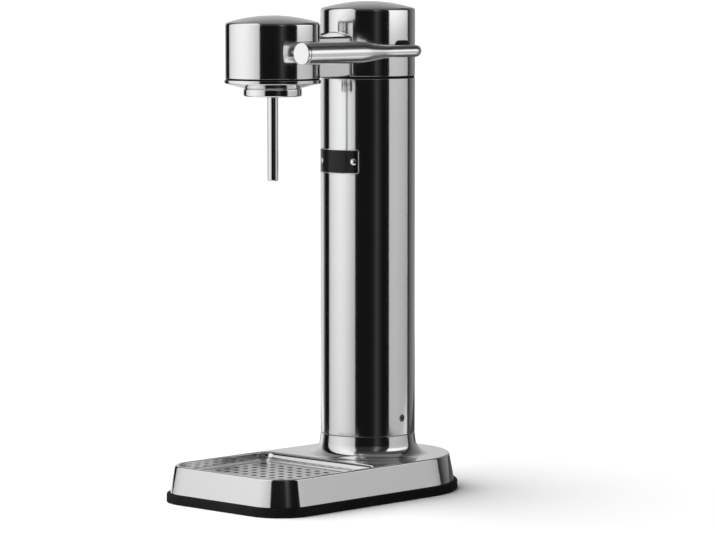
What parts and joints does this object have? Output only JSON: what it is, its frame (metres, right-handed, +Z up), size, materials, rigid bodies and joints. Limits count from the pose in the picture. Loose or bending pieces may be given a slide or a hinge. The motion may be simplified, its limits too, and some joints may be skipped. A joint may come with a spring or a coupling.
{
  "type": "sparkling water maker",
  "caption": "Free-standing sparkling water maker: polished column on a rubber-footed base, side lever, bottle head with nozzle, gas cylinder inside and lift-out drip tray.",
  "frame": {"origin": "on the table, at the middle of the rubber foot's outline", "axes": "+Z up, the bottle head and the drip tray towards -Y, the lever on the +X side"},
  "size_m": [0.153, 0.258, 0.4135],
  "materials": {
    "polished_steel": "mirror polished",
    "tray_steel": "satin",
    "black_rubber": "matte",
    "black_plastic": "moulded",
    "badge_black": "enamel",
    "plated_steel": "zinc plated",
    "black_steel": "blackened",
    "cast_aluminium": "as cast",
    "brass": "turned",
    "white_plastic": "moulded",
    "cylinder_paint": "satin"
  },
  "bodies": {
    "stand": {"rubber_foot": "black_rubber", "base_plate": "plated_steel", "base_screws": "plated_steel", "base_shell": "polished_steel", "column_spigot": "cast_aluminium", "spigot_screws": "plated_steel", "cylinder_guide": "black_plastic", "column_tube": "polished_steel", "fixing_screw": "black_steel", "badge_plate": "polished_steel", "badge_inlay": "badge_black", "badge_rivets": "polished_steel", "upper_ring": "cast_aluminium", "cap_gasket": "black_rubber", "column_cap": "polished_steel", "bridge_cover": "polished_steel", "chassis": "plated_steel", "chassis_screws": "plated_steel", "pivot_bracket": "cast_aluminium", "axle_bushes": "white_plastic", "lever_bush": "black_plastic", "valve_block": "brass", "valve_screws": "plated_steel", "plunger_seal": "black_rubber", "plunger_spring": "plated_steel", "gas_hose": "black_rubber", "hose_ferrules": "brass", "head_cover": "polished_steel", "head_gasket": "black_rubber", "head_dish": "polished_steel", "bottle_socket": "black_plastic", "socket_screws": "plated_steel", "bottle_ring": "polished_steel", "bottle_seal": "black_rubber", "manifold": "brass", "manifold_screws": "plated_steel", "nozzle_tube": "polished_steel", "nozzle_nut": "plated_steel", "nozzle_tip": "black_plastic", "relief_body": "plated_steel", "relief_spring": "plated_steel"},
    "drip_tray": {"drip_tray": "tray_steel", "tray_feet": "black_rubber"},
    "lever": {"lever": "polished_steel", "lever_disc": "polished_steel", "lever_cam": "plated_steel", "cam_screw": "black_steel", "axle_clip": "plated_steel"},
    "plunger": {"plunger": "plated_steel"},
    "gas_cylinder": {"gas_cylinder": "cylinder_paint", "cylinder_valve": "brass", "cylinder_washer": "black_rubber"},
    "valve_pin": {"valve_pin": "brass"},
    "relief_poppet": {"relief_poppet": "brass"}
  },
  "joints": [
    {"name": "lever_pivot", "type": "hinge", "parent": "stand", "child": "lever", "pos_m": [0, 0.0525, 0.3725], "axis": [1, 0, 0], "range_deg": [0, 35], "stiffness_Nm_per_rad": 1.2, "springref_deg": -17.19},
    {"name": "plunger_slide", "type": "slide", "parent": "stand", "child": "plunger", "axis": [0, 0, -1], "range_m": [0, 0.0037], "deforming": ["plunger_spring"]},
    {"name": "cylinder_slide", "type": "slide", "parent": "stand", "child": "gas_cylinder", "axis": [0, 0, -1], "range_m": [0, 0.36]},
    {"name": "valve_pin_slide", "type": "slide", "parent": "gas_cylinder", "child": "valve_pin", "axis": [0, 0, -1], "range_m": [0, 0.0037]},
    {"name": "drip_tray_lift", "type": "slide", "parent": "stand", "child": "drip_tray", "axis": [0, 0, 1], "range_m": [0, 0.1]},
    {"name": "relief_lift", "type": "slide", "parent": "stand", "child": "relief_poppet", "axis": [0, 0, 1], "range_m": [0, 0.002], "stiffness_N_per_m": 1500, "springref_m": -0.003, "deforming": ["relief_spring"]}
  ],
  "couplings": [
    {"joint": "plunger_slide", "follows": "lever_pivot", "m_per_rad": 0.006},
    {"joint": "valve_pin_slide", "follows": "lever_pivot", "m_per_rad": 0.006}
  ]
}
